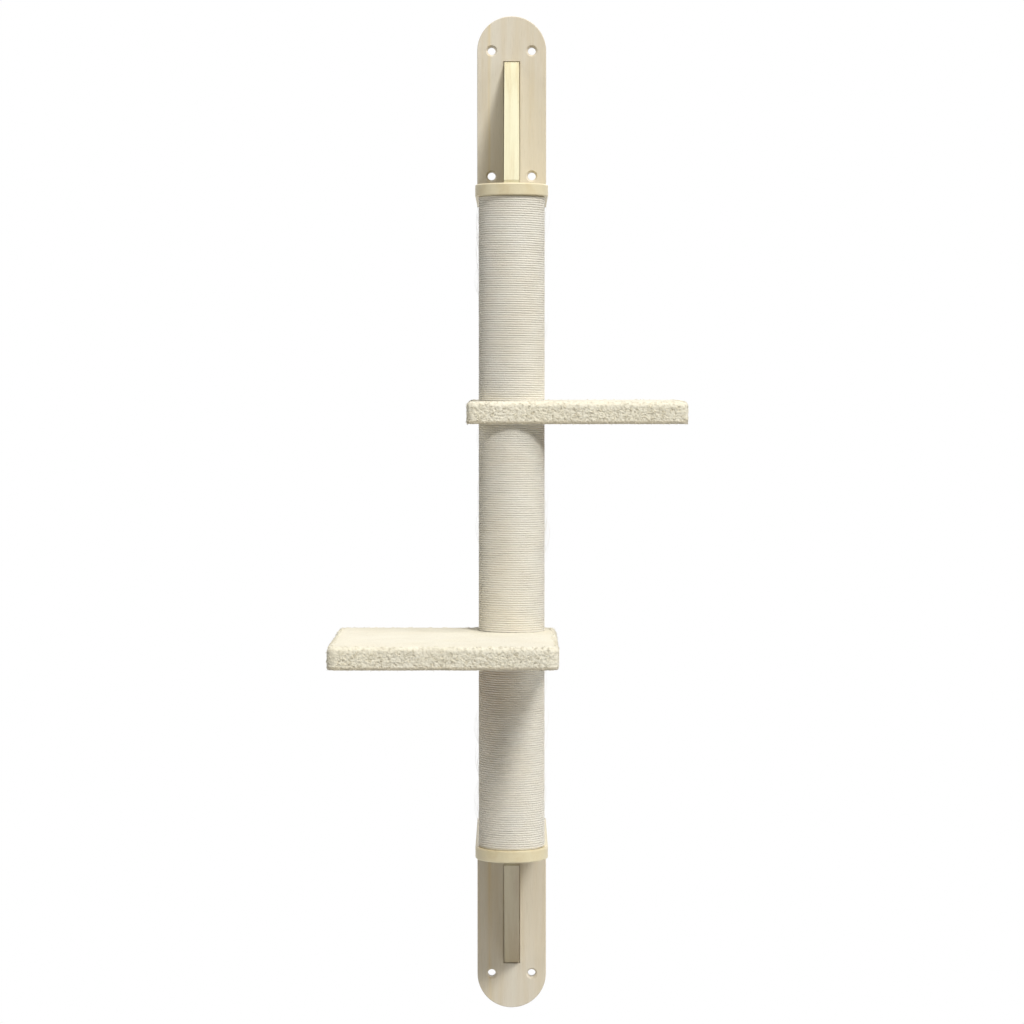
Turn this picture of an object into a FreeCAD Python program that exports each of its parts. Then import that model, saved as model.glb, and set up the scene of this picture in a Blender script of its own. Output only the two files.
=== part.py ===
"""Wall mounted cat tree: two wooden wall brackets, a sisal post and two plush platforms.

Millimetres. The wall is the plane y = 0 and the tree stands out from it towards -Y, with
+X to the right and +Z up. The origin is the centre of the upper bracket's four wall holes,
on the wall. Three pieces of post are clamped between the brackets, with a platform between
each piece and the next.
"""
import FreeCAD, Part
import os

import Sketcher
from types import SimpleNamespace
from FreeCAD import Placement, Rotation, Vector

SIZES = {
    # wall brackets
    "plate_width": 90,
    "plate_height": 248,
    "plate_thickness": 15,
    "plate_edge_bevel": 0.8,
    "hole_end_distance": 45,
    "hole_arm_distance": 25,
    "hole_column_spacing": 52.5,
    "wall_hole_diameter": 10.5,
    "wall_sink_diameter": 15,
    "arm_thickness": 15,
    "arm_edge_bevel": 1.4,
    "post_axis_distance": 240,
    "brace_thickness": 19,
    "brace_height": 173,
    "brace_setback": 8,
    "brace_nose_height": 4,
    "brace_shoulder": 2,
    "groove_depth": 3,
    "groove_clearance": 1.5,
    # wood screws
    "screw_diameter": 4,
    "screw_length": 45,
    "screw_head_diameter": 8,
    "screw_clearance": 0.6,
    "screw_tip_length": 5,
    "end_screw_spacing": 56,
    "brace_screw_height": 45,
    "brace_screw_pitch": 70,
    "arm_screw_distance": 90,
    "arm_screw_pitch": 65,
    # post
    "post_diameter": 82,
    "rope_thickness": 3,
    "tube_wall": 4,
    "upper_section": 253.5,
    "middle_section": 258.5,
    "lower_section": 241,
    "plug_thickness": 20,
    "insert_diameter": 11,
    "insert_flange_diameter": 20,
    "insert_flange_thickness": 1.6,
    "thread_diameter": 8,
    "bolt_clearance": 0.6,
    "bolt_head_diameter": 16,
    "bolt_length": 33,
    "stud_length": 50,
    # platforms
    "board_width": 262,
    "board_depth": 276,
    "board_thickness": 15,
    "board_corner_radius": 3,
    "post_to_short_edge": 50.5,
    "post_to_long_edge": 45.5,
    "plush_thickness": 5.25,
    "plush_edge_bevel": 2,
    "plush_hem": 32,
    "post_clearance": 0.5,
    "staple_width": 10,
    "staple_wire": 1.2,
    "staple_grip": 4.75,
    "staple_to_hem_edge": 4.75,
    "staple_end_distance": 34,
}
STAPLE_COUNT = 4
TOUCH = 1e-6


class Size:
    """A length with its value in millimetres and its formula in the sheet."""

    def __init__(self, text, value):
        self.text = text
        self.value = value

    def joined(self, sign, other, value):
        text = other.text if isinstance(other, Size) else str(other)
        return Size(f"({self.text} {sign} {text})", value)

    def __add__(self, other):
        return self.joined("+", other, self.value + number(other))

    def __sub__(self, other):
        return self.joined("-", other, self.value - number(other))

    def __mul__(self, other):
        return self.joined("*", other, self.value * number(other))

    def __truediv__(self, other):
        return self.joined("/", other, self.value / number(other))

    def __neg__(self):
        return Size(f"(-1 * {self.text})", -self.value)


def number(size):
    """The value of a size, or of a plain number."""
    return size.value if isinstance(size, Size) else size


def bind(obj, prop, size):
    """Tie a property of an object to a size."""
    if isinstance(size, Size):
        obj.setExpression(prop, size.text)
    else:
        setattr(obj, prop, size)


def make_sheet(doc):
    """Write the driving dimensions into a sheet and give them back by name."""
    sheet = doc.addObject("Spreadsheet::Sheet", "Sizes")
    for row, (name, value) in enumerate(SIZES.items(), start=1):
        sheet.set(f"A{row}", name)
        sheet.set(f"B{row}", str(value))
        sheet.setAlias(f"B{row}", name)
    doc.recompute()
    return SimpleNamespace(**{name: Size(f"Sizes.{name}", float(sheet.get(name))) for name in SIZES})


# ---------------------------------------------------------------- places


AS_DRAWN = Rotation(Vector(0, 0, 1), 0)
QUARTER_ROUND = Rotation(Vector(0, 0, 1), 90)
HALF_ROUND = Rotation(Vector(0, 0, 1), 180)
UPSIDE_DOWN = Rotation(Vector(0, 1, 0), 180)
FROM_WALL = Rotation(Vector(1, 0, 0), 90)
DOWN = Rotation(Vector(1, 0, 0), 180)


def place(obj, x=0, y=0, z=0, rotation=AS_DRAWN):
    """Set an object's placement, with its position tied to sizes."""
    obj.Placement = Placement(Vector(0, 0, 0), rotation)
    for letter, distance in (("x", x), ("y", y), ("z", z)):
        if isinstance(distance, Size):
            obj.setExpression(f"Placement.Base.{letter}", distance.text)
    return obj


def hole_rows(size):
    """Heights of the two rows of wall holes above the arm's face on the post."""
    low_row = size.arm_thickness + size.hole_arm_distance
    high_row = size.plate_height - size.hole_end_distance
    return low_row, high_row


def heights(size):
    """Heights of what is stacked on the post, from the upper bracket down."""
    platform = size.board_thickness + size.plush_thickness * 2
    low_row, high_row = hole_rows(size)
    upper_seat = -(low_row + high_row) / 2
    upper_platform = upper_seat - size.upper_section - platform
    lower_platform = upper_platform - size.middle_section - platform
    lower_seat = lower_platform - size.lower_section
    return SimpleNamespace(
        platform=platform,
        upper_seat=upper_seat,
        upper_platform=upper_platform,
        lower_platform=lower_platform,
        lower_seat=lower_seat,
    )


# ---------------------------------------------------------------- sketches and features


def new_body(doc, name):
    body = doc.addObject("PartDesign::Body", name)
    body.Label = name
    return body


def new_sketch(body, name, role, offset=0):
    """A sketch on one of the body's own origin planes, moved along its normal."""
    sketch = body.newObject("Sketcher::SketchObject", f"{body.Name}_{name}")
    plane = [item for item in body.Origin.OriginFeatures if item.Role == role][0]
    sketch.AttachmentSupport = (plane, [""])
    sketch.MapMode = "FlatFace"
    if isinstance(offset, Size):
        sketch.setExpression("AttachmentOffset.Base.z", offset.text)
    return sketch


def hold_point(sketch, curve, point, x, y):
    """Hold one point of a sketch at the distances x and y from its origin."""
    for kind, axis, distance in (("DistanceX", -2, x), ("DistanceY", -1, y)):
        if number(distance) == 0:
            sketch.addConstraint(Sketcher.Constraint("PointOnObject", curve, point, axis))
        else:
            row = sketch.addConstraint(
                Sketcher.Constraint(kind, -1, 1, curve, point, number(distance)))
            sketch.setExpression(f"Constraints[{row}]", distance.text)


def draw_outline(sketch, corners):
    """A closed outline of straight lines through corners given as pairs of sizes."""
    spots = [Vector(number(x), number(y), 0) for x, y in corners]
    count = len(corners)
    for index in range(count):
        sketch.addGeometry(Part.LineSegment(spots[index], spots[(index + 1) % count]))
    for index in range(count):
        sketch.addConstraint(Sketcher.Constraint("Coincident", index, 2, (index + 1) % count, 1))
    for index, (x, y) in enumerate(corners):
        hold_point(sketch, index, 1, x, y)


def draw_rectangle(sketch, left, right, bottom, top):
    draw_outline(sketch, [(left, bottom), (right, bottom), (right, top), (left, top)])


def draw_circles(sketch, centres, diameter):
    for x, y in centres:
        centre = Vector(number(x), number(y), 0)
        curve = sketch.addGeometry(Part.Circle(centre, Vector(0, 0, 1), number(diameter) / 2))
        row = sketch.addConstraint(Sketcher.Constraint("Diameter", curve, number(diameter)))
        sketch.setExpression(f"Constraints[{row}]", diameter.text)
        hold_point(sketch, curve, 3, x, y)


def pad(body, sketch, length, symmetric=False):
    feature = body.newObject("PartDesign::Pad", f"{sketch.Name}_pad")
    feature.Profile = sketch
    feature.SideType = "Symmetric" if symmetric else "One side"
    bind(feature, "Length", length)
    body.Document.recompute()
    return feature


def pocket(body, sketch, depth=None, forwards=False):
    """Cut a sketch out of the body, against its normal or, with forwards, along it."""
    before = body.Shape.Volume
    feature = body.newObject("PartDesign::Pocket", f"{sketch.Name}_pocket")
    feature.Profile = sketch
    feature.Reversed = forwards
    if depth is None:
        feature.Type = "ThroughAll"
    else:
        bind(feature, "Length", depth)
    body.Document.recompute()
    if not body.Shape.Volume < before - TOUCH:
        raise ValueError(f"{feature.Name} cuts nothing")
    return feature


def edge_names(feature, wanted):
    """Names of the feature's edges for which wanted(edge) holds."""
    edges = enumerate(feature.Shape.Edges, start=1)
    return [f"Edge{index}" for index, edge in edges if wanted(edge)]


def dress(body, kind, prop, base, names, size):
    """Add a Fillet or a Chamfer of the given size to the named edges."""
    feature = body.newObject(f"PartDesign::{kind}", f"{base.Name}_{kind.lower()}")
    feature.Base = (base, names)
    bind(feature, prop, size)
    body.Document.recompute()
    return feature


def fillet(body, base, wanted, radius):
    return dress(body, "Fillet", "Radius", base, edge_names(base, wanted), radius)


def chamfer(body, base, wanted, width):
    return dress(body, "Chamfer", "Size", base, edge_names(base, wanted), width)


def lies_at(edge, letter, distance):
    """True where the whole edge lies in the plane x, y or z = distance."""
    box = edge.BoundBox
    low = getattr(box, f"{letter.upper()}Min")
    high = getattr(box, f"{letter.upper()}Max")
    return abs(low - number(distance)) < TOUCH and abs(high - number(distance)) < TOUCH


def is_circle(edge, diameter):
    curve = edge.Curve
    return isinstance(curve, Part.Circle) and abs(curve.Radius * 2 - number(diameter)) < TOUCH


# ---------------------------------------------------------------- wall brackets
# A bracket is drawn with its wall plate upwards from the arm's face on the post, z = 0.
# The lower bracket is the same one turned upside down.


def screw_passage(size):
    """Diameter of the clearance holes for the wood screws."""
    return size.screw_diameter + size.screw_clearance


def bolt_passage(size):
    """Diameter of the clearance holes for the post's bolts and studs."""
    return size.thread_diameter + size.bolt_clearance


def end_screw_spots(size):
    """Screws through the plate into the arm's end, as x and z."""
    half = size.end_screw_spacing / 2
    middle = size.arm_thickness / 2
    return [(-half, middle), (half, middle)]


def brace_screw_spots(size):
    """Screws through the plate into the brace, as x and z."""
    first = size.arm_thickness + size.brace_screw_height
    return [(0, first), (0, first + size.brace_screw_pitch)]


def arm_screw_spots(size):
    """Screws through the arm into the brace's foot, as x and y."""
    first = -size.arm_screw_distance
    return [(0, first), (0, first - size.arm_screw_pitch)]


def make_wall_plate(doc, size, name):
    """Plate with a round end, countersunk wall holes and a groove for the brace."""
    body = new_body(doc, name)
    half = size.plate_width / 2
    shoulder = size.plate_height - half
    front = size.plate_thickness
    straight = new_sketch(body, "straight", "XZ_Plane")
    draw_rectangle(straight, -half, half, 0, shoulder)
    pad(body, straight, front)
    rounded = new_sketch(body, "round_end", "XZ_Plane")
    draw_circles(rounded, [(0, shoulder)], size.plate_width)
    base = pad(body, rounded, front)
    rim = lambda edge: lies_at(edge, "y", -front) and not lies_at(edge, "z", 0)
    base = chamfer(body, base, rim, size.plate_edge_bevel)

    groove = new_sketch(body, "groove", "XZ_Plane", front)
    groove_half = size.brace_thickness / 2 + size.groove_clearance
    groove_end = size.arm_thickness + size.brace_height + size.groove_clearance
    draw_rectangle(groove, -groove_half, groove_half, size.arm_thickness, groove_end)
    pocket(body, groove, size.groove_depth)

    wall_holes = new_sketch(body, "wall_holes", "XZ_Plane", front)
    column = size.hole_column_spacing / 2
    centres = [(x, z) for x in (-column, column) for z in hole_rows(size)]
    draw_circles(wall_holes, centres, size.wall_hole_diameter)
    base = pocket(body, wall_holes)
    mouth = lambda edge: lies_at(edge, "y", -front) and is_circle(edge, size.wall_hole_diameter)
    sink = (size.wall_sink_diameter - size.wall_hole_diameter) / 2
    chamfer(body, base, mouth, sink)

    screw_holes = new_sketch(body, "screw_holes", "XZ_Plane", front)
    spots = end_screw_spots(size) + brace_screw_spots(size)
    passage = screw_passage(size)
    draw_circles(screw_holes, spots, passage)
    base = pocket(body, screw_holes)
    back = lambda edge: lies_at(edge, "y", 0) and is_circle(edge, passage)
    chamfer(body, base, back, (size.screw_head_diameter - passage) / 2)
    return body


def make_arm(doc, size, name):
    """D-shaped arm with a round front, seen from above, that caps the post."""
    body = new_body(doc, name)
    half = size.plate_width / 2
    axis = -size.post_axis_distance
    rear = -size.plate_thickness
    top = size.arm_thickness
    straight = new_sketch(body, "straight", "XY_Plane")
    draw_rectangle(straight, -half, half, axis, rear)
    pad(body, straight, top)
    rounded = new_sketch(body, "round_front", "XY_Plane")
    draw_circles(rounded, [(0, axis)], size.plate_width)
    base = pad(body, rounded, top)
    rim = lambda edge: not lies_at(edge, "y", rear) and (
        lies_at(edge, "z", 0) or lies_at(edge, "z", top))
    base = chamfer(body, base, rim, size.arm_edge_bevel)

    bolt_hole = new_sketch(body, "bolt_hole", "XY_Plane", top)
    passage = bolt_passage(size)
    draw_circles(bolt_hole, [(0, axis)], passage)
    base = pocket(body, bolt_hole)
    mouth = lambda edge: lies_at(edge, "z", top) and is_circle(edge, passage)
    chamfer(body, base, mouth, (size.bolt_head_diameter - passage) / 2)

    screw_holes = new_sketch(body, "screw_holes", "XY_Plane", top)
    clearance_hole = screw_passage(size)
    draw_circles(screw_holes, arm_screw_spots(size), clearance_hole)
    base = pocket(body, screw_holes)
    below = lambda edge: lies_at(edge, "z", 0) and is_circle(edge, clearance_hole)
    chamfer(body, base, below, (size.screw_head_diameter - clearance_hole) / 2)

    pilots = new_sketch(body, "pilots", "XZ_Plane", size.plate_thickness)
    draw_circles(pilots, end_screw_spots(size), size.screw_diameter)
    pocket(body, pilots, size.screw_length - size.plate_thickness, forwards=True)
    return body


def make_brace(doc, size, name):
    """Triangular brace on the arm, let into the plate's groove."""
    body = new_body(doc, name)
    foot = size.arm_thickness
    heel = size.groove_depth - size.plate_thickness
    tip = size.brace_setback - size.post_axis_distance - size.plate_width / 2
    head = foot + size.brace_height
    side = new_sketch(body, "side", "YZ_Plane")
    draw_outline(side, [
        (heel, foot),
        (tip, foot),
        (tip, foot + size.brace_nose_height),
        (-size.plate_thickness - size.brace_shoulder, head),
        (heel, head),
    ])
    pad(body, side, size.brace_thickness, symmetric=True)

    rear_pilots = new_sketch(body, "rear_pilots", "XZ_Plane", -heel)
    draw_circles(rear_pilots, brace_screw_spots(size), size.screw_diameter)
    pocket(body, rear_pilots, size.screw_length + heel, forwards=True)
    foot_pilots = new_sketch(body, "foot_pilots", "XY_Plane", foot)
    draw_circles(foot_pilots, arm_screw_spots(size), size.screw_diameter)
    pocket(body, foot_pilots, size.screw_length - foot, forwards=True)
    return body


# ---------------------------------------------------------------- screws and bolts


def add_cylinder(doc, name, diameter, length):
    cylinder = doc.addObject("Part::Cylinder", name)
    bind(cylinder, "Radius", diameter / 2)
    bind(cylinder, "Height", length)
    return cylinder


def add_cone(doc, name, start, end, length):
    cone = doc.addObject("Part::Cone", name)
    bind(cone, "Radius1", start / 2)
    bind(cone, "Radius2", end / 2 if isinstance(end, Size) else end)
    bind(cone, "Height", length)
    return cone


def add_cut(doc, name, base, tool):
    cut = doc.addObject("Part::Cut", name)
    cut.Base = base
    cut.Tool = tool
    return cut


def add_union(doc, name, shapes):
    union = doc.addObject("Part::MultiFuse", name)
    union.Shapes = shapes
    union.Refine = True
    return union


def add_group(doc, name, links):
    group = doc.addObject("Part::Compound", name)
    group.Links = links
    return group


def countersunk(doc, name, head, shank, length, tip=None):
    """A countersunk fastener whose head is flush with z = 0 and whose shank points to +Z."""
    head_height = (head - shank) / 2
    cone = add_cone(doc, f"{name}_head", head, shank, head_height)
    body_length = length - head_height if tip is None else length - head_height - tip
    rod = place(add_cylinder(doc, f"{name}_shank", shank, body_length), z=head_height)
    shapes = [cone, rod]
    if tip is not None:
        point = add_cone(doc, f"{name}_tip", shank, 0, tip)
        shapes.append(place(point, z=length - tip))
    return add_union(doc, f"{name}_whole", shapes)


def wood_screw(doc, size, name):
    return countersunk(doc, name, size.screw_head_diameter, size.screw_diameter,
                       size.screw_length, size.screw_tip_length)


def make_plate_screws(doc, size, name):
    """Four wood screws from the plate's back, two into the arm and two into the brace."""
    screws = []
    for index, (x, z) in enumerate(end_screw_spots(size) + brace_screw_spots(size)):
        screw = wood_screw(doc, size, f"{name}_{index}")
        screws.append(place(screw, x=x, z=z, rotation=FROM_WALL))
    return add_group(doc, name, screws)


def make_arm_screws(doc, size, name):
    """Two wood screws through the arm into the foot of the brace."""
    screws = []
    for index, (x, y) in enumerate(arm_screw_spots(size)):
        screws.append(place(wood_screw(doc, size, f"{name}_{index}"), x=x, y=y))
    return add_group(doc, name, screws)


def make_post_bolt(doc, size, name):
    """Countersunk bolt let into the arm under the brace, which draws the post to the arm."""
    bolt = countersunk(doc, name, size.bolt_head_diameter, size.thread_diameter,
                       size.bolt_length)
    place(bolt, y=-size.post_axis_distance, z=size.arm_thickness, rotation=DOWN)
    return add_group(doc, name, [bolt])


BRACKET_PIECES = {
    "wall_plate": make_wall_plate,
    "arm": make_arm,
    "brace": make_brace,
    "plate_screws": make_plate_screws,
    "arm_screws": make_arm_screws,
    "post_bolt": make_post_bolt,
}


def make_bracket(doc, size, side, seat, rotation):
    """All pieces of one bracket, with its arm's face on the post at height seat."""
    pieces = []
    for kind, make in BRACKET_PIECES.items():
        piece = make(doc, size, f"{side}_{kind}")
        pieces.append(place(piece, z=seat, rotation=rotation))
    return pieces


# ---------------------------------------------------------------- post


def make_ring(doc, name, outer, inner, length):
    """A round sleeve from z = 0 upwards."""
    body = new_body(doc, name)
    section = new_sketch(body, "section", "XY_Plane")
    draw_circles(section, [(0, 0)], outer)
    draw_circles(section, [(0, 0)], inner)
    pad(body, section, length)
    return body


def make_plug(doc, size, name):
    """Turned end plug that fits inside the tube and is bored for its insert."""
    outer = size.post_diameter - size.rope_thickness * 2 - size.tube_wall * 2
    return make_ring(doc, name, outer, size.insert_diameter, size.plug_thickness)


def make_insert(doc, size, name):
    """Flanged threaded insert, its mouth at z = 0 and its flange on the plug's inner face."""
    barrel = add_cylinder(doc, f"{name}_barrel", size.insert_diameter, size.plug_thickness)
    flange = add_cylinder(
        doc, f"{name}_flange", size.insert_flange_diameter, size.insert_flange_thickness)
    place(flange, z=size.plug_thickness)
    length = size.plug_thickness + size.insert_flange_thickness
    thread = add_cylinder(doc, f"{name}_thread", size.thread_diameter, length)
    return add_cut(doc, name, add_union(doc, f"{name}_solid", [barrel, flange]), thread)


def make_section(doc, size, side, bottom, top):
    """One piece of the post: tube, wound rope, two end plugs and their inserts."""
    axis = -size.post_axis_distance
    tube_diameter = size.post_diameter - size.rope_thickness * 2
    bore = tube_diameter - size.tube_wall * 2
    length = top - bottom
    tube = make_ring(doc, f"{side}_post_tube", tube_diameter, bore, length)
    wrap = make_ring(doc, f"{side}_sisal_wrap", size.post_diameter, tube_diameter, length)
    pieces = [place(tube, y=axis, z=bottom), place(wrap, y=axis, z=bottom)]
    inserts = []
    for end, height, rotation in (("bottom", bottom, AS_DRAWN), ("top", top, DOWN)):
        plug = make_plug(doc, size, f"{side}_post_{end}_plug")
        pieces.append(place(plug, y=axis, z=height, rotation=rotation))
        insert = make_insert(doc, size, f"{side}_{end}_insert")
        inserts.append(place(insert, y=axis, z=height, rotation=rotation))
    pieces.append(add_group(doc, f"{side}_post_inserts", inserts))
    return pieces


# ---------------------------------------------------------------- platforms
# A platform is drawn with the post's axis at x = y = 0, its underside at z = 0 and the
# long way out to the front and the left. The upper one is turned half round.


def board_edges(size, margin):
    """Left, right, front and rear edges of the board, moved outwards by margin."""
    right = size.post_to_short_edge + margin
    left = size.post_to_short_edge - size.board_width - margin
    rear = size.post_to_long_edge + margin
    front = size.post_to_long_edge - size.board_depth - margin
    return left, right, front, rear


def make_slab(doc, name, edges, thickness, corner_radius):
    """A flat slab with round corners."""
    body = new_body(doc, name)
    plan = new_sketch(body, "plan", "XY_Plane")
    draw_rectangle(plan, *edges)
    base = pad(body, plan, thickness)
    upright = lambda edge: edge.BoundBox.ZLength > number(thickness) - TOUCH
    fillet(body, base, upright, corner_radius)
    return body


def make_cover(doc, size, name, heap):
    """The plush cover's outside, a soft-edged slab round the board."""
    edges = board_edges(size, size.plush_thickness)
    radius = size.board_corner_radius + size.plush_thickness
    body = make_slab(doc, name, edges, heap.platform, radius)
    rims = lambda edge: lies_at(edge, "z", 0) or lies_at(edge, "z", heap.platform)
    chamfer(body, body.Tip, rims, size.plush_edge_bevel)
    return body


def add_box(doc, name, edges, height):
    """A block with the given left, right, front and rear edges, from z = 0 up."""
    left, right, front, rear = edges
    block = doc.addObject("Part::Box", name)
    bind(block, "Length", right - left)
    bind(block, "Width", rear - front)
    bind(block, "Height", height)
    return place(block, x=left, y=front)


def add_staple(doc, size, name):
    """A wire staple along X, its crown from z = 0 and its legs upwards, centred on x = 0."""
    length = size.plush_thickness + size.staple_grip
    outer = doc.addObject("Part::Box", f"{name}_outside")
    bind(outer, "Length", size.staple_width)
    bind(outer, "Width", size.staple_wire)
    bind(outer, "Height", length)
    place(outer, x=-size.staple_width / 2, y=-size.staple_wire / 2)
    inner = doc.addObject("Part::Box", f"{name}_inside")
    bind(inner, "Length", size.staple_width - size.staple_wire * 2)
    bind(inner, "Width", size.staple_wire)
    bind(inner, "Height", length - size.staple_wire)
    place(inner, x=size.staple_wire - size.staple_width / 2, y=-size.staple_wire / 2,
          z=size.staple_wire)
    return add_cut(doc, name, outer, inner)


def spread(start, end, count):
    """Evenly spaced distances from start to end."""
    step = (end - start) / (count - 1)
    return [start + step * index for index in range(count)]


def add_staples(doc, size, name):
    """Staples along the four sides of the hem, clear of the post."""
    inset = size.plush_hem - size.plush_thickness - size.staple_to_hem_edge
    left, right, front, rear = board_edges(size, -inset)
    far_x = left - inset + size.staple_end_distance
    far_y = front - inset + size.staple_end_distance
    post_side = -size.post_diameter / 2 - size.staple_width
    across = spread(far_x, post_side, STAPLE_COUNT)
    along = spread(far_y, post_side, STAPLE_COUNT)
    spots = [(x, y, AS_DRAWN) for y in (front, rear) for x in across]
    spots += [(x, y, QUARTER_ROUND) for x in (left, right) for y in along]
    staples = []
    for index, (x, y, rotation) in enumerate(spots):
        staple = add_staple(doc, size, f"{name}_staple_{index}")
        staples.append(place(staple, x=x, y=y, rotation=rotation))
    return staples


def make_platform(doc, size, side, heap, height, rotation):
    """Board, plush cover, the hem's staples and the stud that joins the post through it."""
    skin = size.plush_thickness
    core = make_slab(
        doc, f"{side}_core", board_edges(size, 0), size.board_thickness, size.board_corner_radius)
    place(core, z=skin)
    staples = add_staples(doc, size, side)
    passage = add_cylinder(doc, f"{side}_passage", bolt_passage(size), heap.platform)
    board_tools = add_union(doc, f"{side}_board_holes", [passage] + staples)
    board = add_cut(doc, f"{side}_platform_board", core, board_tools)

    cover = make_cover(doc, size, f"{side}_cover", heap)
    window = add_box(doc, f"{side}_window", board_edges(size, skin - size.plush_hem), skin)
    seat = add_cylinder(
        doc, f"{side}_seat", size.post_diameter + size.post_clearance * 2, heap.platform)
    cover_tools = add_union(doc, f"{side}_cover_holes", [core, window, seat] + staples)
    plush = add_cut(doc, f"{side}_platform_plush", cover, cover_tools)

    group = add_group(doc, f"{side}_platform_staples", staples)
    axis = -size.post_axis_distance
    pieces = [place(piece, y=axis, z=height, rotation=rotation) for piece in (board, plush, group)]
    stud = add_cylinder(doc, f"{side}_platform_stud", size.thread_diameter, size.stud_length)
    below = height + heap.platform / 2 - size.stud_length / 2
    pieces.append(place(stud, y=axis, z=below))
    return pieces


# ---------------------------------------------------------------- the whole tree


def build(doc):
    """All pieces of the tree, from the upper bracket down."""
    size = make_sheet(doc)
    heap = heights(size)
    skin = size.plush_thickness
    pieces = make_bracket(doc, size, "upper", heap.upper_seat, AS_DRAWN)
    pieces += make_section(
        doc, size, "upper", heap.upper_platform + heap.platform - skin, heap.upper_seat)
    pieces += make_platform(doc, size, "upper", heap, heap.upper_platform, HALF_ROUND)
    pieces += make_section(
        doc, size, "middle", heap.lower_platform + heap.platform - skin, heap.upper_platform + skin)
    pieces += make_platform(doc, size, "lower", heap, heap.lower_platform, AS_DRAWN)
    pieces += make_section(doc, size, "lower", heap.lower_seat, heap.lower_platform + skin)
    pieces += make_bracket(doc, size, "lower", heap.lower_seat, UPSIDE_DOWN)
    doc.recompute()
    return pieces


def check(doc, pieces):
    """Stop if an object of the document failed or a piece isn't a whole solid."""
    for obj in doc.Objects:
        if "Invalid" in obj.State or "Error" in obj.State:
            raise ValueError(f"{obj.Name} failed: {obj.State}")
    for piece in pieces:
        if piece.Shape.isNull() or not piece.Shape.isValid() or not piece.Shape.Solids:
            raise ValueError(f"{piece.Label} isn't a valid solid")


def main():
    doc = FreeCAD.newDocument("cat_tree")
    pieces = build(doc)
    check(doc, pieces)
    os.makedirs("parts", exist_ok=True)
    for piece in pieces:
        piece.Shape.exportStep(f"parts/{piece.Label}.step")
        print(f"{piece.Label}: {len(piece.Shape.Solids)} solid(s)")


main()
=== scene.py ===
"""Looks of the wall mounted cat tree: pale wood, wound sisal and curly cream plush."""
import math
import random

import bpy
import numpy as np
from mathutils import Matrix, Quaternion, Vector, noise


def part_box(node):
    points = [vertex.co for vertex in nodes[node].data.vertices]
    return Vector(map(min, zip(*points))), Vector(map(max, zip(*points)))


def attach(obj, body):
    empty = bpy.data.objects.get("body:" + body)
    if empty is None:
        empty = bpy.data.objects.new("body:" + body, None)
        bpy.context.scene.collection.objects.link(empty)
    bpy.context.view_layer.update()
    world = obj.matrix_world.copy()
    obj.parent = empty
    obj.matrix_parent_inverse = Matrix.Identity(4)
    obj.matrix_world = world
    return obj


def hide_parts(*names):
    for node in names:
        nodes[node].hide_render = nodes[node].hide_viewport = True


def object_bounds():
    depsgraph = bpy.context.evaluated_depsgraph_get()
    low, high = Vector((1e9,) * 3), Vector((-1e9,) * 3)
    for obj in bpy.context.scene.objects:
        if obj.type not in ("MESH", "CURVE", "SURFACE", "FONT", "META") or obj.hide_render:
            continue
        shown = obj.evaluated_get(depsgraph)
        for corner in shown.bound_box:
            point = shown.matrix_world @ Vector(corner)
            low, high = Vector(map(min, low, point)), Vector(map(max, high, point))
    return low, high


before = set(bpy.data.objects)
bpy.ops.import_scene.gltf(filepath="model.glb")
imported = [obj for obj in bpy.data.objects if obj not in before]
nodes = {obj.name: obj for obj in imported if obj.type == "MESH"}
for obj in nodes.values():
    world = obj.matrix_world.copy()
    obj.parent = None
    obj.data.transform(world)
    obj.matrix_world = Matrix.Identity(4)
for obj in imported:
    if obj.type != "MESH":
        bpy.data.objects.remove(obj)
cad_low, cad_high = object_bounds()
MM = 0.001
SECTIONS = ("upper", "middle", "lower")
SIDES = ("upper", "lower")
WHITE = (1.0, 1.0, 1.0)
# Vector noise starts from the clock unless it is given a seed.
noise.seed_set(5)


# ---------------------------------------------------------------- helpers


def new_object(name, vertices, faces, smooth=True):
    """A mesh object from arrays of vertices and faces."""
    mesh = bpy.data.meshes.new(name)
    mesh.from_pydata([tuple(v) for v in vertices], [], [tuple(f) for f in faces])
    mesh.update()
    if smooth:
        mesh.shade_smooth()
    obj = bpy.data.objects.new(name, mesh)
    bpy.context.scene.collection.objects.link(obj)
    return obj


def dress(obj, material):
    """Give an object one material."""
    obj.data.materials.clear()
    obj.data.materials.append(material)


def tube_along(points, thick, thin, sides):
    """Vertices and faces of a tapering tube along points."""
    vertices, faces = [], []
    for index, spot in enumerate(points):
        ahead = points[min(index + 1, len(points) - 1)] - points[max(index - 1, 0)]
        across = ahead.orthogonal().normalized()
        other = ahead.cross(across).normalized()
        share = index / (len(points) - 1)
        radius = thick + (thin - thick) * share
        for side in range(sides):
            spin = math.tau * side / sides
            vertices.append(spot + (across * math.cos(spin) + other * math.sin(spin)) * radius)
    for index in range(len(points) - 1):
        base = index * sides
        for side in range(sides):
            following = (side + 1) % sides
            faces.append((base + side, base + following,
                          base + sides + following, base + sides + side))
    faces.append(tuple(range(sides))[::-1])
    faces.append(tuple(len(vertices) - sides + side for side in range(sides)))
    return vertices, faces


def add_tube(vertices, faces, points, thick, thin, sides=3):
    """Add a tapering tube to lists of vertices and faces, and count its vertices."""
    more, walls = tube_along(points, thick, thin, sides)
    offset = len(vertices)
    vertices += more
    faces += [tuple(index + offset for index in face) for face in walls]
    return len(more)


# ---------------------------------------------------------------- materials


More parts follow.
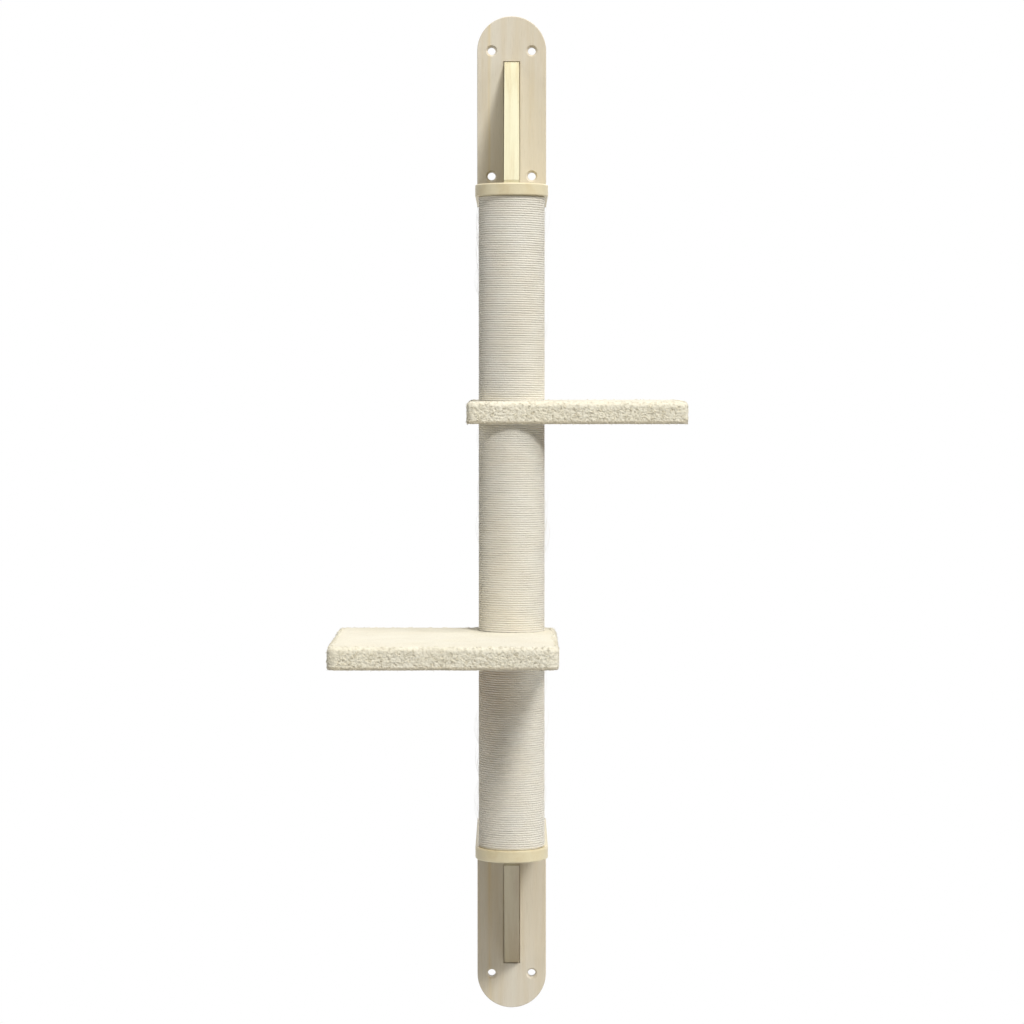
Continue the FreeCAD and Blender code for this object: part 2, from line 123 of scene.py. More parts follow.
class Shader:
    """A Principled material and short calls for the nodes that feed it."""

    def __init__(self, name, roughness, **values):
        self.material = bpy.data.materials.new(name)
        self.material.use_nodes = True
        self.tree = self.material.node_tree
        self.shader = self.tree.nodes["Principled BSDF"]
        self.shader.inputs["Roughness"].default_value = roughness
        for socket, value in values.items():
            self.shader.inputs[socket.replace("_", " ")].default_value = value
        self.space = self.add("ShaderNodeTexCoord")

    def add(self, kind, **properties):
        node = self.tree.nodes.new(kind)
        for key, value in properties.items():
            setattr(node, key, value)
        return node

    def link(self, start, end):
        self.tree.links.new(start, end)

    def stretched(self, scale, coordinates="Object", tilt=0.0):
        """Coordinates scaled along axes that are first turned about X by the tilt."""
        mapping = self.add("ShaderNodeMapping", vector_type="TEXTURE")
        mapping.inputs["Rotation"].default_value = (tilt, 0.0, 0.0)
        mapping.inputs["Scale"].default_value = [1.0 / share for share in scale]
        self.link(self.space.outputs[coordinates], mapping.inputs["Vector"])
        return mapping.outputs["Vector"]

    def noise(self, vector, scale, detail=3.0, roughness=0.5, distortion=0.0):
        node = self.add("ShaderNodeTexNoise")
        node.inputs["Scale"].default_value = scale
        node.inputs["Detail"].default_value = detail
        node.inputs["Roughness"].default_value = roughness
        node.inputs["Distortion"].default_value = distortion
        self.link(vector, node.inputs["Vector"])
        return node.outputs["Fac"]

    def ramp(self, value, *stops):
        """Colours at positions, as (position, (red, green, blue))."""
        node = self.add("ShaderNodeValToRGB")
        elements = node.color_ramp.elements
        while len(elements) < len(stops):
            elements.new(0.5)
        for element, (position, colour) in zip(elements, stops):
            element.position = position
            element.color = (*colour, 1.0)
        self.link(value, node.inputs["Fac"])
        return node.outputs["Color"]

    def mix(self, factor, first, second, kind="MIX"):
        node = self.add("ShaderNodeMix", data_type="RGBA", blend_type=kind)
        if isinstance(factor, float):
            node.inputs["Factor"].default_value = factor
        else:
            self.link(factor, node.inputs["Factor"])
        self.link(first, node.inputs["A"])
        self.link(second, node.inputs["B"])
        return node.outputs["Result"]

    def band(self, axis, place, half_width):
        """1 at a place along an object axis, falling to 0 at half a width from it."""
        split = self.add("ShaderNodeSeparateXYZ")
        self.link(self.space.outputs["Object"], split.inputs[0])
        away = self.add("ShaderNodeMath", operation="SUBTRACT")
        away.inputs[1].default_value = place
        self.link(split.outputs[axis], away.inputs[0])
        distance = self.add("ShaderNodeMath", operation="ABSOLUTE")
        self.link(away.outputs[0], distance.inputs[0])
        fade = self.add("ShaderNodeMapRange")
        fade.inputs["From Max"].default_value = half_width
        fade.inputs["To Min"].default_value = 1.0
        fade.inputs["To Max"].default_value = 0.0
        self.link(distance.outputs[0], fade.inputs["Value"])
        return fade.outputs[0]

    def colour(self, value):
        self.link(value, self.shader.inputs["Base Color"])

    def bump(self, *heights):
        """Bumps given as (height, strength, distance in metres), laid over each other."""
        below = None
        for height, strength, distance in heights:
            node = self.add("ShaderNodeBump")
            node.inputs["Strength"].default_value = strength
            node.inputs["Distance"].default_value = distance
            self.link(height, node.inputs["Height"])
            if below is not None:
                self.link(below, node.inputs["Normal"])
            below = node.outputs["Normal"]
        self.link(below, self.shader.inputs["Normal"])


def linear(red, green, blue):
    """A colour written as 0 to 255 on a screen, as the shader wants it."""
    parts = []
    for level in (red, green, blue):
        share = level / 255
        parts.append(share / 12.92 if share <= 0.04045 else ((share + 0.055) / 1.055) ** 2.4)
    return tuple(parts)


# Texture scales are per metre, and ROPE_HAIRS per strand. A grain is the share of the scale
# that is left along each axis.

ALONG_Z = (1.0, 1.0, 0.05)
ALONG_Y = (1.0, 0.05, 1.0)
WOOD_FIBRES, WOOD_PORES, VEIN_PATCHES = 620.0, 1500.0, 240.0
ROPE_PATCHES, ROPE_TURN_TONES, ROPE_HAIRS = 26.0, 330.0, 9.0
PLUSH_TUFTS, PLUSH_FUZZ, PLUSH_CLOUDS = 420.0, 1500.0, 16.0
BOARD_CHIPS, BOARD_DUST = 640.0, 900.0
PAPER_SEAMS, PAPER_FIBRES = 16.0, 700.0
STEEL_CLOUDS, STEEL_MARKS = 160.0, 900.0


def make_wood(name, grain, light, middle, streak, band_scale=60.0, coat=0.08, vein=None,
              tilt=0.0):
    """Pale planed wood: faint bands and fibres along the grain under a matt lacquer.

    A vein is a multiplied colour, its place along X and its half width.
    """
    wood = Shader(name, 0.50, Coat_Weight=coat, Coat_Roughness=0.32)
    along = wood.stretched(grain, tilt=tilt)
    bands = wood.noise(along, band_scale, detail=4.0, roughness=0.55, distortion=0.3)
    fibres = wood.noise(along, WOOD_FIBRES, detail=3.0, roughness=0.6)
    pores = wood.noise(along, WOOD_PORES, detail=2.0)
    base = wood.ramp(bands, (0.30, light), (0.50, middle), (0.62, streak), (0.72, middle))
    thin = wood.ramp(fibres, (0.35, (0.94, 0.94, 0.92)), (0.62, WHITE))
    specks = wood.ramp(pores, (0.32, (0.86, 0.84, 0.80)), (0.42, WHITE))
    if vein is not None:
        paint, place, half_width = vein
        patches = wood.noise(along, VEIN_PATCHES)
        uneven = wood.ramp(patches, (0.35, (0.2, 0.2, 0.2)), (0.6, WHITE))
        yellow = wood.ramp(uneven, (0.0, WHITE), (1.0, paint))
        base = wood.mix(wood.band("X", place, half_width), base,
                        wood.mix(1.0, base, yellow, "MULTIPLY"))
    colour = wood.mix(0.55, base, thin, "MULTIPLY")
    wood.colour(wood.mix(0.45, colour, specks, "MULTIPLY"))
    wood.bump((fibres, 0.12, 0.0004), (pores, 0.06, 0.0002))
    return wood.material


def make_sisal():
    """Thin twisted rope: three strands that run round it with painted shade in the grooves between
    them, fine fibres and uneven colour.
    """
    rope = Shader("sisal_rope_winding", 0.86, Sheen_Weight=0.12, Sheen_Roughness=0.5)
    strands = rope.add("ShaderNodeTexWave", wave_type="BANDS", bands_direction="DIAGONAL")
    strands.inputs["Scale"].default_value = 1.0
    strands.inputs["Distortion"].default_value = 0.7
    strands.inputs["Detail"].default_value = 1.5
    rope.link(rope.space.outputs["UV"], strands.inputs["Vector"])
    fine = rope.noise(rope.stretched((1.0, 6.0, 1.0), "UV"), ROPE_HAIRS, detail=3.0)
    patches = rope.noise(rope.space.outputs["Object"], ROPE_PATCHES, detail=2.0)
    turns = rope.noise(rope.stretched((0.15, 0.15, 1.0)), ROPE_TURN_TONES, detail=1.0)
    base = rope.ramp(patches, (0.3, linear(240, 234, 219)), (0.7, linear(242, 238, 226)))
    lines = rope.ramp(turns, (0.35, (0.93, 0.92, 0.90)), (0.6, WHITE))
    # Painted shade in the grooves between the strands, where the strands' bands run low.
    twist_groove_shade = rope.ramp(strands.outputs["Fac"], (0.0, (0.86, 0.83, 0.78)), (0.40, WHITE))
    hairs = rope.ramp(fine, (0.30, (0.91, 0.89, 0.86)), (0.6, WHITE))
    base = rope.mix(0.45, base, lines, "MULTIPLY")
    base = rope.mix(0.50, base, twist_groove_shade, "MULTIPLY")
    rope.colour(rope.mix(0.45, base, hairs, "MULTIPLY"))
    rope.bump((strands.outputs["Fac"], 0.5, 0.0005), (fine, 0.35, 0.0003))
    return rope.material


def make_plush():
    """Curly pile: warm cream tips, painted shade at the roots between the curls and along the
    lower edge, soft sheen.
    """
    plush = Shader("cream_plush", 0.95, Sheen_Weight=0.25, Sheen_Roughness=0.6)
    space = plush.space.outputs["Object"]
    tufts = plush.noise(space, PLUSH_TUFTS, detail=3.0, distortion=0.8)
    fuzz = plush.noise(space, PLUSH_FUZZ, detail=3.0, roughness=0.65)
    clouds = plush.noise(space, PLUSH_CLOUDS, detail=2.0)
    base = plush.ramp(clouds, (0.35, linear(241, 234, 211)), (0.65, linear(243, 237, 217)))
    # Painted shade: where the pile's share is low, the plush turns darker and yellower.
    roots = plush.add("ShaderNodeAttribute", attribute_name="pile")
    painted_root_shade = plush.ramp(roots.outputs["Fac"], (0.10, (0.70, 0.66, 0.60)), (0.68, WHITE))
    hairs = plush.ramp(fuzz, (0.3, (0.88, 0.87, 0.84)), (0.6, WHITE))
    base = plush.mix(1.0, base, painted_root_shade, "MULTIPLY")
    plush.colour(plush.mix(0.7, base, hairs, "MULTIPLY"))
    plush.bump((tufts, 0.28, 0.0009), (fuzz, 0.40, 0.0005))
    return plush.material


def make_chipboard():
    """Raw particle board: pressed chips of several browns."""
    board = Shader("raw_particle_board", 0.85)
    chips = board.add("ShaderNodeTexVoronoi", feature="F1")
    chips.inputs["Scale"].default_value = BOARD_CHIPS
    board.link(board.stretched((1.0, 0.45, 1.0)), chips.inputs["Vector"])
    fine = board.noise(board.space.outputs["Object"], BOARD_DUST)
    tones = board.ramp(chips.outputs["Color"], (0.1, linear(150, 120, 82)),
                       (0.5, linear(186, 156, 114)), (0.9, linear(205, 180, 141)))
    dust = board.ramp(fine, (0.3, (0.85, 0.83, 0.80)), (0.6, WHITE))
    board.colour(board.mix(0.8, tones, dust, "MULTIPLY"))
    board.bump((fine, 0.3, 0.0003))
    return board.material


def make_cardboard():
    """Kraft paperboard with the lines of its winding."""
    paper = Shader("kraft_paperboard", 0.9)
    spiral = paper.add("ShaderNodeTexWave", wave_type="BANDS", bands_direction="Z")
    spiral.inputs["Scale"].default_value = PAPER_SEAMS
    paper.link(paper.space.outputs["Object"], spiral.inputs["Vector"])
    fibre = paper.noise(paper.space.outputs["Object"], PAPER_FIBRES)
    tones = paper.ramp(fibre, (0.3, linear(150, 118, 80)), (0.7, linear(176, 144, 104)))
    seams = paper.ramp(spiral.outputs["Fac"], (0.0, (0.8, 0.8, 0.8)), (0.08, WHITE))
    paper.colour(paper.mix(0.7, tones, seams, "MULTIPLY"))
    paper.bump((fibre, 0.2, 0.0002))
    return paper.material


def make_steel():
    """Bright zinc plating with faint drawing marks and a little clouding."""
    steel = Shader("zinc_plated_steel", 0.34, Metallic=1.0)
    clouds = steel.noise(steel.space.outputs["Object"], STEEL_CLOUDS, detail=4.0)
    marks = steel.noise(steel.stretched((1.0, 1.0, 8.0)), STEEL_MARKS)
    steel.colour(steel.ramp(clouds, (0.3, linear(176, 177, 178)), (0.7, linear(206, 207, 208))))
    steel.bump((marks, 0.12, 0.0001))
    return steel.material


# Tones of each brace's wood; the lower brace's sloping face looks down, and its darker tones are
# painted shade.
BRACE_TONES_AND_SHADE = {
    "upper": (linear(213, 207, 176), linear(207, 201, 168), linear(200, 189, 152)),
    "lower": (linear(180, 169, 139), linear(174, 162, 133), linear(168, 153, 124)),
}
BRACE_COAT = {"upper": 0.10, "lower": 0.05}
BRACE_BANDS = 90.0
PLATE_VEIN = ((1.0, 0.93, 0.76), -29.0 * MM, 3.5 * MM)


def make_brace_wood(side):
    """Wood of one brace, its grain along the sloping edge; the lower brace's darker tones are
    painted shade.
    """
    low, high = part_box(f"{side}_brace")
    slope = math.atan2(high.y - low.y, high.z - low.z)
    return make_wood(f"{side}_brace_wood", ALONG_Z, *BRACE_TONES_AND_SHADE[side], band_scale=BRACE_BANDS,
                     coat=BRACE_COAT[side], tilt=-slope if side == "upper" else slope)


# ---------------------------------------------------------------- sisal winding
# One thin rope goes round each tube from end to end, its turns lying side by side.

POST_AXIS = Vector((0.0, -0.240, 0.0))
POST_RADIUS = 0.041
ROPE_PITCH = 2.764 * MM
ROPE_HALF_HEIGHT = 1.50 * MM
ROPE_HALF_DEPTH = 1.30 * MM
END_TUCK = 0.7 * MM
ROPE_STEPS = 84
ROPE_SIDES = 7
ROPE_LAY = 9.0 * MM
STRAND_COUNT = 3
WANDER_ROUND, WANDER_ALONG = 1.3, 0.37
SECTION_SEED, SWELL_SEED = 11.0, 50.0
ROPE_SWELL = 0.09
ROPE_WANDER = 0.16 * MM


def wander(turn_number, angle, seed, size):
    """A small smooth deviation that changes along the winding."""
    spot = Vector((math.cos(angle) * WANDER_ROUND, math.sin(angle) * WANDER_ROUND,
                   turn_number * WANDER_ALONG + seed))
    return noise.noise(spot) * size


def winding_rows(low, high, seed):
    """Rings of points along the rope: one level turn, the climb, and one level turn."""
    start = low.z + ROPE_HALF_HEIGHT
    climb = (high.z - low.z - 2 * ROPE_HALF_HEIGHT) / ROPE_PITCH
    turns = climb + 2.0
    count = int(turns * ROPE_STEPS)
    helix_radius = POST_RADIUS - ROPE_HALF_DEPTH
    rows = np.zeros((count + 1, ROPE_SIDES, 3))
    for step in range(count + 1):
        turn = turns * step / count
        angle = turn * math.tau
        level = min(max(turn - 1.0, 0.0), climb)
        free = min(level, climb - level, 1.0)
        tucked = max(0.0, 1.0 - turn, turn - turns + 1.0) * END_TUCK
        swell = 1.0 + wander(turn, angle, seed + SWELL_SEED, ROPE_SWELL)
        middle = start + level * ROPE_PITCH + wander(turn, angle, seed, ROPE_WANDER) * free
        for side in range(ROPE_SIDES):
            spin = math.tau * side / ROPE_SIDES
            reach = helix_radius - tucked + ROPE_HALF_DEPTH * swell * math.cos(spin)
            rows[step, side] = (POST_AXIS.x + reach * math.sin(angle),
                                POST_AXIS.y + reach * math.cos(angle),
                                middle + ROPE_HALF_HEIGHT * swell * math.sin(spin))
    return rows


def winding_faces(count):
    """Walls and the two ends of a rope with this many steps."""
    step = np.arange(count)[:, None] * ROPE_SIDES
    side = np.arange(ROPE_SIDES)[None, :]
    following = (side + 1) % ROPE_SIDES
    walls = np.stack([step + side, step + following, step + ROPE_SIDES + following,
                      step + ROPE_SIDES + side], axis=-1).reshape(-1, 4)
    ends = [list(range(ROPE_SIDES))[::-1],
            [count * ROPE_SIDES + index for index in range(ROPE_SIDES)]]
    return walls.tolist() + ends


def map_strands(rope, count):
    """UV that counts strands: along the rope in U and round it in V."""
    side = np.arange(ROPE_SIDES)
    step_length = math.tau * (POST_RADIUS - ROPE_HALF_DEPTH) / ROPE_STEPS
    strands = step_length / ROPE_LAY * STRAND_COUNT
    corners = np.array([side * 1.0, side + 1.0, side + 1.0, side * 1.0]).T
    around = np.tile(corners / ROPE_SIDES * STRAND_COUNT, (count, 1, 1))
    steps = np.array([0.0, 0.0, 1.0, 1.0])[None, None, :] + np.arange(count)[:, None, None]
    forward = np.broadcast_to(steps * strands, around.shape)
    uv = np.zeros((len(rope.data.loops), 2))
    uv[:around.size, 0] = forward.reshape(-1)
    uv[:around.size, 1] = around.reshape(-1)
    rope.data.uv_layers.new(name="rope").data.foreach_set("uv", uv.reshape(-1))


def make_winding(section, material):
    """The rope on one piece of post, as a closed tube along a helix with level end turns."""
    low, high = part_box(f"{section}_sisal_wrap")
    rows = winding_rows(low, high, SECTION_SEED * SECTIONS.index(section))
    count = len(rows) - 1
    rope = new_object(f"{section}_sisal_rope", rows.reshape(-1, 3), winding_faces(count))
    map_strands(rope, count)
    dress(rope, material)
    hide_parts(f"{section}_sisal_wrap")
    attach(rope, "root")


# ---------------------------------------------------------------- loose fibres
# Wisps of sisal stand off the post, most of them where hands and claws have rubbed it.
# Each group is: angle round the post (0 at the wall), lowest and highest start, and count.

LEFT, RIGHT = 1.5 * math.pi, 0.5 * math.pi
WISP_GROUPS = (
    (LEFT, -0.250, -0.140, 22), (LEFT, -0.560, -0.420, 10), (LEFT, -0.905, -0.785, 24),
    (RIGHT, -0.350, -0.140, 12), (RIGHT, -0.575, -0.485, 20), (RIGHT, -0.900, -0.700, 12),
)
GROUP_SPREAD = 0.22
GROUP_LENGTHS = (0.012, 0.045)
SCATTERED_WISPS = 70
SCATTERED_LENGTHS = (0.006, 0.018)
CLEAR_BELOW, CLEAR_ABOVE = 0.01, 0.03
WISP_SEED = 7
WISP_POINTS = 13
WISP_ROOT = 0.8 * MM
WISP_WAVES = 8.0
WISP_THICK, WISP_THIN = 0.09 * MM, 0.05 * MM


def wisp_path(rng, angle, height, length):
    """Points of one fibre that leaves the rope, runs along the post and bends back to it."""
    outward = Vector((math.sin(angle), math.cos(angle), 0.0))
    sideways = Vector((math.cos(angle), -math.sin(angle), 0.0))
    start = POST_AXIS + outward * (POST_RADIUS - WISP_ROOT) + Vector((0.0, 0.0, height))
    lean = rng.uniform(-0.35, 0.35)
    bulge = rng.uniform(0.06, 0.17) * length
    wave = rng.uniform(0.2, 0.9) * MM
    reach = rng.uniform(0.70, 0.96)
    points = []
    for index in range(WISP_POINTS):
        share = index / (WISP_POINTS - 1)
        spot = start + outward * (math.sin(share * math.pi * reach) * bulge)
        spot += Vector((0.0, 0.0, share * length))
        spot += sideways * (lean * share * length + math.sin(share * WISP_WAVES) * wave)
        points.append(spot)
    return points


def wisp_starts(rng):
    """Angle, height and length of every wisp."""
    starts = []
    for angle, low, high, count in WISP_GROUPS:
        for _ in range(count):
            starts.append((angle + rng.gauss(0.0, GROUP_SPREAD), rng.uniform(low, high),
                           rng.uniform(*GROUP_LENGTHS)))
    for _ in range(SCATTERED_WISPS):
        section = rng.choice(SECTIONS)
        low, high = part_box(f"{section}_sisal_wrap")
        starts.append((rng.uniform(0.0, math.tau),
                       rng.uniform(low.z + CLEAR_BELOW, high.z - CLEAR_ABOVE),
                       rng.uniform(*SCATTERED_LENGTHS)))
    return starts


def make_wisps(material):
    """All loose fibres as one object."""
    rng = random.Random(WISP_SEED)
    vertices, faces = [], []
    for angle, height, length in wisp_starts(rng):
        points = wisp_path(rng, angle, height, length)
        add_tube(vertices, faces, points, WISP_THICK, WISP_THIN)
    wisps = new_object("sisal_loose_fibres", vertices, faces)
    dress(wisps, material)
    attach(wisps, "root")


# ---------------------------------------------------------------- plush covers
# A cover is one sheet of curly pile: it starts at the board's underside, runs out along the
# turned-in hem, up the side and over the top, and has a round hole at the post.

CELL = 1.0 * MM
SIDE_CELL = 0.7 * MM
HEM_CELL = 1.6 * MM
HEM = 32.0 * MM
PLUSH = 5.25 * MM
# The hem's inner edge as (distance from it, height over the cover's lowest face).
HEM_EDGE = ((0.0, PLUSH), (0.2 * MM, PLUSH * 0.55), (0.7 * MM, PLUSH * 0.22), (2.0 * MM, 0.2 * MM))
# The first rows lie against the board and carry no pile.
PRESSED_ROWS = 2
HEM_FLAT_START = 3.5 * MM
CORNER = 10.5 * MM
TOP_ROUND = 6.5 * MM
LOW_ROUND = 4.5 * MM
ROUND_ROWS = 10
SHARPEST = 1.5 * MM
HOLE_RADIUS = POST_RADIUS + 0.25 * MM
COLLAR_HEIGHT, COLLAR_WIDTH = 0.8 * MM, 2.5 * MM
CREASE_DEPTH, CREASE_WIDTH = 1.5 * MM, 1.3 * MM
SIDE_SINK = 1.6 * MM
TOP_LIFT = 1.0 * MM
DROOP = 0.8 * MM
EDGE_SHADE = 3.6 * MM

CURLED_SCALE, CURLED_SIZE = 330.0, 0.9 * MM
RIDGE_SCALE, RIDGE_SHARPNESS, RIDGE_HEIGHT = 390.0, 2.6, 0.70
SMALL_SCALE, SMALL_SHARPNESS, SMALL_HEIGHT = 830.0, 2.4, 0.45
SMALL_SHIFT = Vector((9.0, 2.0, 5.0))
BROAD_SCALE, BROAD_HEIGHT = 30.0, 0.2
TOP_PILE = 0.5
LOWEST_PILE, HIGHEST_PILE = -1.2 * MM, 1.4 * MM

CURLS = 3000
CURL_SEED = 31
CURL_POINTS = 7
CURL_SIDES = 4
CURL_ROOT = 0.35 * MM
CURL_THICK, CURL_THIN = 0.36 * MM, 0.18 * MM
CURL_LEAST_OUTWARD = 0.6
DOWNWARD = Vector((0.0, 0.0, -1.0))


def cover_profile(height):
    """Rows from the hem's inner edge to the top, as inset, height, outward and upward normal."""
    rows = [(HEM - away, level, 0.0, -1.0) for away, level in HEM_EDGE]
    flat = HEM - HEM_FLAT_START - LOW_ROUND
    for index in range(int(flat / HEM_CELL)):
        rows.append((LOW_ROUND + flat - index * HEM_CELL, 0.0, 0.0, -1.0))
    for index in range(ROUND_ROWS):
        turn = index / (ROUND_ROWS - 1) * math.pi / 2
        rows.append((LOW_ROUND * (1 - math.sin(turn)), LOW_ROUND * (1 - math.cos(turn)),
                     math.sin(turn), -math.cos(turn)))
    upright = height - LOW_ROUND - TOP_ROUND
    count = int(upright / SIDE_CELL)
    for index in range(1, count):
        rows.append((0.0, LOW_ROUND + upright * index / count, 1.0, 0.0))
    for index in range(ROUND_ROWS):
        turn = index / (ROUND_ROWS - 1) * math.pi / 2
        rows.append((TOP_ROUND * (1 - math.cos(turn)),
                     height - TOP_ROUND * (1 - math.sin(turn)), math.cos(turn), math.sin(turn)))
    return rows


def corner_direction(corner, index, cells):
    """Unit direction of a corner's column, from the square corner's border."""
    x = 1.0 if index >= cells else index / cells
    y = 1.0 if index <= cells else 2.0 - index / cells
    direction = Vector((x, y)).normalized()
    for _ in range(corner):
        direction = Vector((direction.y, -direction.x))
    return direction


def outline_columns(across, along, corner_cells):
    """Columns round the cover: (corner, share of the straight side, direction)."""
    columns = []
    for corner in range(4):
        for index in range(2 * corner_cells):
            columns.append((corner, 0.0, corner_direction(corner, index, corner_cells)))
        straight = (along if corner % 2 == 0 else across) - 2 * corner_cells
        normal = corner_direction(corner, 2 * corner_cells, corner_cells)
        for index in range(straight):
            columns.append((corner, index / straight, normal))
    return columns


def ring(columns, low, high, inset):
    """One row of points round the cover at a distance inside its outline."""
    radius = max(CORNER - inset, SHARPEST)
    reach = inset + radius
    centres = [Vector((high.x - reach, high.y - reach)), Vector((high.x - reach, low.y + reach)),
               Vector((low.x + reach, low.y + reach)), Vector((low.x + reach, high.y - reach))]
    points = []
    for corner, share, direction in columns:
        centre = centres[corner].lerp(centres[(corner + 1) % 4], share)
        points.append(centre + direction * radius)
    return points


def skirt(columns, profile, low, high):
    """Points and normals of the smooth hem and sides, row by row."""
    spots, normals = [], []
    for inset, level, outward, upward in profile:
        for column, point in zip(columns, ring(columns, low, high, inset)):
            direction = column[2]
            spots.append(Vector((point.x, point.y, low.z + level)))
            normals.append(Vector((direction.x * outward, direction.y * outward, upward)))
    return spots, normals


def skirt_faces(row_count, column_count):
    """Faces between the rows of the hem and sides."""
    faces = []
    for row in range(row_count - 1):
        base = row * column_count
        for column in range(column_count):
            following = (column + 1) % column_count
            faces.append((base + column, base + column_count + column,
                          base + column_count + following, base + following))
    return faces


def border_cells(across, along):
    """Grid points on the border, clockwise from the rear left corner."""
    path = [(i, along) for i in range(across)]
    path += [(across, j) for j in range(along, 0, -1)]
    path += [(i, 0) for i in range(across, 0, -1)]
    path += [(0, j) for j in range(along)]
    return path


def corner_line(index, total, cells, start, end, inner):
    """Place of a grid line, with the corner squares cut into equal cells."""
    if index <= cells:
        return start + inner * index / cells
    if index >= total - cells:
        return end - inner * (total - index) / cells
    return start + inner + (end - start - 2 * inner) * (index - cells) / (total - 2 * cells)


def rounded(x, y, left, right, front, rear, inner):
    """Pull a point of a square corner in, so that the corner becomes round."""
    centre_x = min(max(x, left + inner), right - inner)
    centre_y = min(max(y, front + inner), rear - inner)
    dx, dy = x - centre_x, y - centre_y
    if dx == 0.0 or dy == 0.0:
        return x, y
    share = max(abs(dx), abs(dy)) / math.hypot(dx, dy)
    return centre_x + dx * share, centre_y + dy * share


def top_grid(across, along, corner_cells, low, high, border, spots, normals):
    """Fill the top inside the last row with a grid that shares the row's points."""
    path = border_cells(across, along)
    start = path.index((across - corner_cells, along))
    index_of = {}
    for offset in range(len(path)):
        index_of[path[(start + offset) % len(path)]] = border + offset
    inner = CORNER - TOP_ROUND
    left, right = low.x + TOP_ROUND, high.x - TOP_ROUND
    front, rear = low.y + TOP_ROUND, high.y - TOP_ROUND
    for i in range(1, across):
        for j in range(1, along):
            x = corner_line(i, across, corner_cells, left, right, inner)
            y = corner_line(j, along, corner_cells, front, rear, inner)
            x, y = rounded(x, y, left, right, front, rear, inner)
            index_of[(i, j)] = len(spots)
            spots.append(Vector((x, y, high.z)))
            normals.append(Vector((0.0, 0.0, 1.0)))
    faces = []
    for i in range(across):
        for j in range(along):
            faces.append((index_of[(i, j)], index_of[(i + 1, j)],
                          index_of[(i + 1, j + 1)], index_of[(i, j + 1)]))
    return faces


def outside_post(face, spots):
    """True where a face isn't inside the round hole at the post."""
    middle = sum((spots[index] for index in face), Vector()) / len(face)
    return math.hypot(middle.x - POST_AXIS.x, middle.y - POST_AXIS.y) > HOLE_RADIUS


def clear_of_post(spot):
    """Move a point that lies under the rope out to the rim of the post's hole."""
    away = Vector((spot.x - POST_AXIS.x, spot.y - POST_AXIS.y))
    if away.length > HOLE_RADIUS:
        return spot
    rim = away.normalized() * HOLE_RADIUS
    return Vector((POST_AXIS.x + rim.x, POST_AXIS.y + rim.y, spot.z))


def pile_height(spot, side):
    """Height of the curls at a point: worm-like ridges, stronger on the sides."""
    curled = spot + noise.noise_vector(spot * CURLED_SCALE) * CURLED_SIZE
    ridges = 1.0 - abs(noise.noise(curled * RIDGE_SCALE)) * RIDGE_SHARPNESS
    small = 1.0 - abs(noise.noise(curled * SMALL_SCALE + SMALL_SHIFT)) * SMALL_SHARPNESS
    broad = noise.noise(spot * BROAD_SCALE)
    strength = TOP_PILE + (1.0 - TOP_PILE) * side
    curls = ridges * RIDGE_HEIGHT * MM + small * SMALL_HEIGHT * MM
    return curls * strength + broad * BROAD_HEIGHT * MM


def crease_depth(spot, low, high, upward):
    """Depth of the mitred folds that cross the hem's corners."""
    if upward > -0.9:
        return 0.0
    from_x = min(spot.x - low.x, high.x - spot.x)
    from_y = min(spot.y - low.y, high.y - spot.y)
    return math.exp(-((from_x - from_y) / CREASE_WIDTH) ** 2) * CREASE_DEPTH


def lower_edge(normal):
    """How far a normal points both outward and down, at most a half."""
    return math.hypot(normal.x, normal.y) * max(0.0, -normal.z)


def displaced(spots, normals, heights, pressed, low, high):
    """Smooth points moved to the pile's surface, but for the pressed ones, which come first."""
    moved = []
    for index, (spot, normal, lift) in enumerate(zip(spots, normals, heights)):
        spot = clear_of_post(spot)
        gap = math.hypot(spot.x - POST_AXIS.x, spot.y - POST_AXIS.y) - HOLE_RADIUS
        collar = math.exp(-gap / COLLAR_WIDTH) * COLLAR_HEIGHT * abs(normal.z)
        sunk = SIDE_SINK * (1.0 - abs(normal.z)) + crease_depth(spot, low, high, normal.z)
        amount = 0.0 if index < pressed else lift + collar - sunk
        hanging = DROOP * lower_edge(normal) * 2.0
        raised = TOP_LIFT * max(0.0, normal.z)
        moved.append(spot + normal * amount + Vector((0.0, 0.0, raised - hanging)))
    return moved


def set_pile_shade(obj, shares):
    """Store the share of the pile's height at each vertex, which the plush material reads as
    painted shade where it is low.
    """
    attribute = obj.data.attributes.new("pile", "FLOAT", "POINT")
    attribute.data.foreach_set("value", shares)


def keep_used(name, vertices, faces, heights):
    """Make the object without the vertices that no face uses."""
    used = sorted({index for face in faces for index in face})
    place = {index: rank for rank, index in enumerate(used)}
    cover = new_object(name, [vertices[index] for index in used],
                       [tuple(place[index] for index in face) for face in faces])
    # The share of the pile's height at each kept vertex, for the painted shade in the plush
    # material.
    span = HIGHEST_PILE - LOWEST_PILE
    set_pile_shade(cover, [min(1.0, max(0.0, (heights[index] - LOWEST_PILE) / span)) for index in used])
    return cover


def curl_path(rng, spot, normal):
    """Points of one curl: it arches off the skin, or hangs where the skin faces down."""
    sideways = Quaternion(normal, rng.uniform(0.0, math.tau)) @ normal.orthogonal().normalized()
    hanging = min(1.0, max(0.0, -normal.z) * 2.0)
    along = sideways.lerp(DOWNWARD, hanging * 0.8).normalized()
    length = rng.uniform(2.4, 4.6) * MM * (1.0 - 0.55 * hanging)
    rise = rng.uniform(0.6, 1.1) * MM
    reach = rng.uniform(0.75, 1.0)
    bend = rng.uniform(-0.8, 0.8) * MM
    across = normal.cross(along)
    points = []
    for index in range(CURL_POINTS):
        share = index / (CURL_POINTS - 1)
        lift = math.sin(share * math.pi * reach) * rise - CURL_ROOT
        points.append(spot + normal * lift + along * (share * length)
                      + across * (math.sin(share * math.pi) * bend))
    return points


